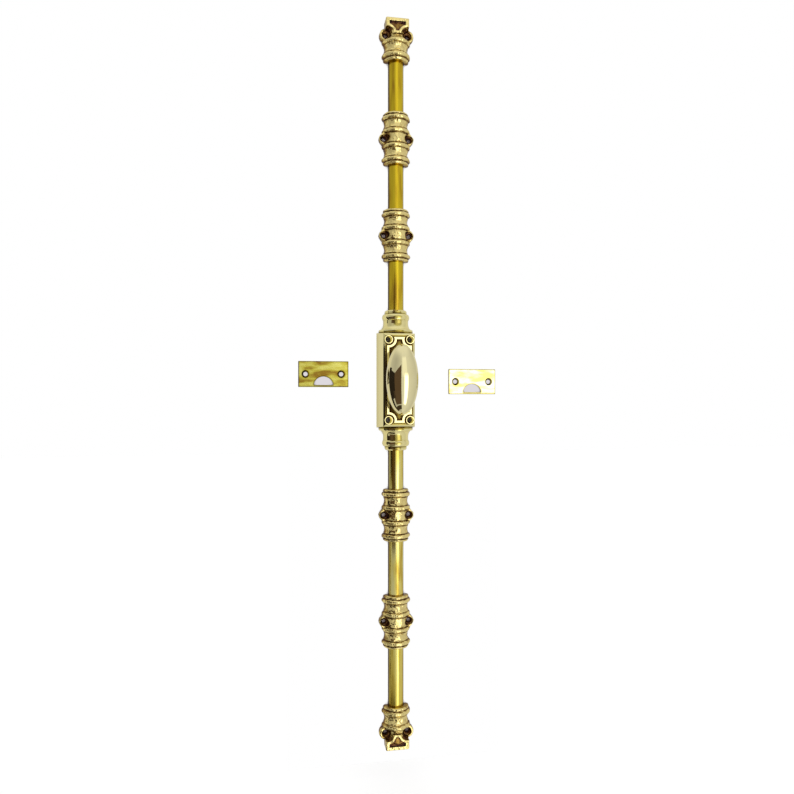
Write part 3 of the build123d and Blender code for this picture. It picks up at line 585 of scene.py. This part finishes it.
# Strike plates. Rolled brass sheet, brushed along its length and half tarnished in streaks, with a bevelled
# front edge, two countersunk holes and a punched opening for the end of a rod.
rolled, tree, shader, place = metal("rolled_brass_brushed")
brush_length = 0.020
brush_spacing = 0.0004
edge_reach = 0.0015
streak_length = 0.018
streak_height = 0.0060
between_plates = 0.01
brush_height = 0.00003
brushed = add(
    tree, "ShaderNodeMapping", Vector=place, Scale=(1 / brush_length, 1 / brush_spacing, 1 / brush_spacing)
)
brush = add(tree, "ShaderNodeTexNoise", Vector=brushed.outputs[0], Scale=1.0, Detail=2.0)
streaked = add(
    tree, "ShaderNodeMapping", Vector=place, Scale=(1 / streak_length, 1 / streak_height, 1 / streak_height)
)
streaks = add(tree, "ShaderNodeTexNoise", Vector=streaked.outputs[0], Scale=1.0, Detail=3.0)
tarnished_stops = [(0.36, linear("#a07c2c")), (0.50, linear("#cfc24c")), (0.64, linear("#e6de74"))]
# Painted highlight: the right plate's paler colours.
bright_stops = [(0.36, linear("#ddd070")), (0.50, linear("#ece3a4")), (0.62, linear("#f4efcc"))]
tarnished, bright = (
    add(tree, "ShaderNodeValToRGB", {"stops": stops}, Fac=streaks.outputs["Fac"]).outputs[0]
    for stops in (tarnished_stops, bright_stops)
)
# The left plate is the more tarnished one; the right plate's paler colour is a painted highlight.
sides = add(tree, "ShaderNodeSeparateXYZ", Vector=place)
right = add(
    tree, "ShaderNodeMapRange", Value=sides.outputs["X"],
    From_Min=-between_plates, From_Max=between_plates,
)
plate_tint = add(
    tree, "ShaderNodeMix", {"data_type": "RGBA"}, _0=right.outputs[0], _6=tarnished, _7=bright
)
# Its edges, and those of its holes, are coloured darker.
middle = add(
    tree, "ShaderNodeAmbientOcclusion", {"samples": 8, "inside": True, "only_local": True},
    Distance=edge_reach,
).outputs["AO"]
rim = add(tree, "ShaderNodeMapRange", Value=middle, From_Min=0.97, From_Max=0.72)
rimmed = add(
    tree, "ShaderNodeMix", {"data_type": "RGBA", "blend_type": "MULTIPLY"}, _0=rim.outputs[0],
    _6=plate_tint.outputs[2], _7=linear("#9c966a"),
)
tree.links.new(rimmed.outputs[2], shader.inputs["Base Color"])
dull = add(tree, "ShaderNodeMapRange", Value=brush.outputs["Fac"], To_Min=0.08, To_Max=0.16)
tree.links.new(dull.outputs[0], shader.inputs["Roughness"])
scratch = add(tree, "ShaderNodeBump", Height=brush.outputs["Fac"], Strength=0.35, Distance=brush_height)
tree.links.new(scratch.outputs[0], shader.inputs["Normal"])
dress(rolled, *strikes)

# Mechanism. The wheel, racks, spindle and pin are milled from mild steel and oiled. The cutter leaves bands,
# and old oil browns the metal in patches.
milled, tree, shader, place = metal("milled_steel_oiled")
cutter_pitch = 0.00377
# A wave texture has this many bands to a metre at a scale of 1.
wave_rate = 20 / (2 * math.pi)
cut_height = 0.00002
oil_size = 0.006
cuts = add(
    tree, "ShaderNodeTexWave", {"bands_direction": "Z"}, Vector=place,
    Scale=1 / (cutter_pitch * wave_rate), Distortion=1.0,
)
oil = add(tree, "ShaderNodeTexNoise", Vector=place, Scale=1 / oil_size, Detail=3.0)
oil_stops = [(0.40, linear("#c3c4c6")), (0.70, linear("#9a8e7c"))]
oiled = add(tree, "ShaderNodeValToRGB", {"stops": oil_stops}, Fac=oil.outputs["Fac"])
tree.links.new(oiled.outputs[0], shader.inputs["Base Color"])
dull = add(tree, "ShaderNodeMapRange", Value=oil.outputs["Fac"], To_Min=0.24, To_Max=0.42)
tree.links.new(dull.outputs[0], shader.inputs["Roughness"])
lines = add(tree, "ShaderNodeBump", Height=cuts.outputs["Fac"], Strength=0.3, Distance=cut_height)
tree.links.new(lines.outputs[0], shader.inputs["Normal"])
dress(milled, "pinion", "spindle", "knob_pin", "upper_rack", "lower_rack")

# Back plate and screws. Sheet steel and bought screws, zinc plated: pale and a little cloudy.
plated, tree, shader, place = metal("zinc_plated_steel")
spangle_size = 0.0035
spangle = add(tree, "ShaderNodeTexVoronoi", Vector=place, Scale=1 / spangle_size)
cloud = add(tree, "ShaderNodeMapRange", Value=spangle.outputs["Distance"], To_Min=0.28, To_Max=0.46)
tree.links.new(cloud.outputs[0], shader.inputs["Roughness"])
zinc = add(
    tree, "ShaderNodeMix", {"data_type": "RGBA"}, _0=spangle.outputs["Distance"],
    _6=linear("#c9cbc6"), _7=linear("#b4b3a6"),
)
tree.links.new(zinc.outputs[2], shader.inputs["Base Color"])
dress(plated, "back_plate", "back_plate_screws", "upper_rack_screws", "lower_rack_screws")

# Thrust washer. Stamped from bronze strip, redder than the brass, and rubbed by the wheel.
bronze, tree, shader, place = metal("stamped_bronze")
rub_size = 0.002
rub = add(tree, "ShaderNodeTexNoise", Vector=place, Scale=1 / rub_size, Detail=2.0)
rubbed = add(
    tree, "ShaderNodeMix", {"data_type": "RGBA"}, _0=rub.outputs["Fac"],
    _6=linear("#b98a56"), _7=linear("#8c5f38"),
)
tree.links.new(rubbed.outputs[2], shader.inputs["Base Color"])
dull = add(tree, "ShaderNodeMapRange", Value=rub.outputs["Fac"], To_Min=0.22, To_Max=0.40)
tree.links.new(dull.outputs[0], shader.inputs["Roughness"])
dress(bronze, "thrust_washer")
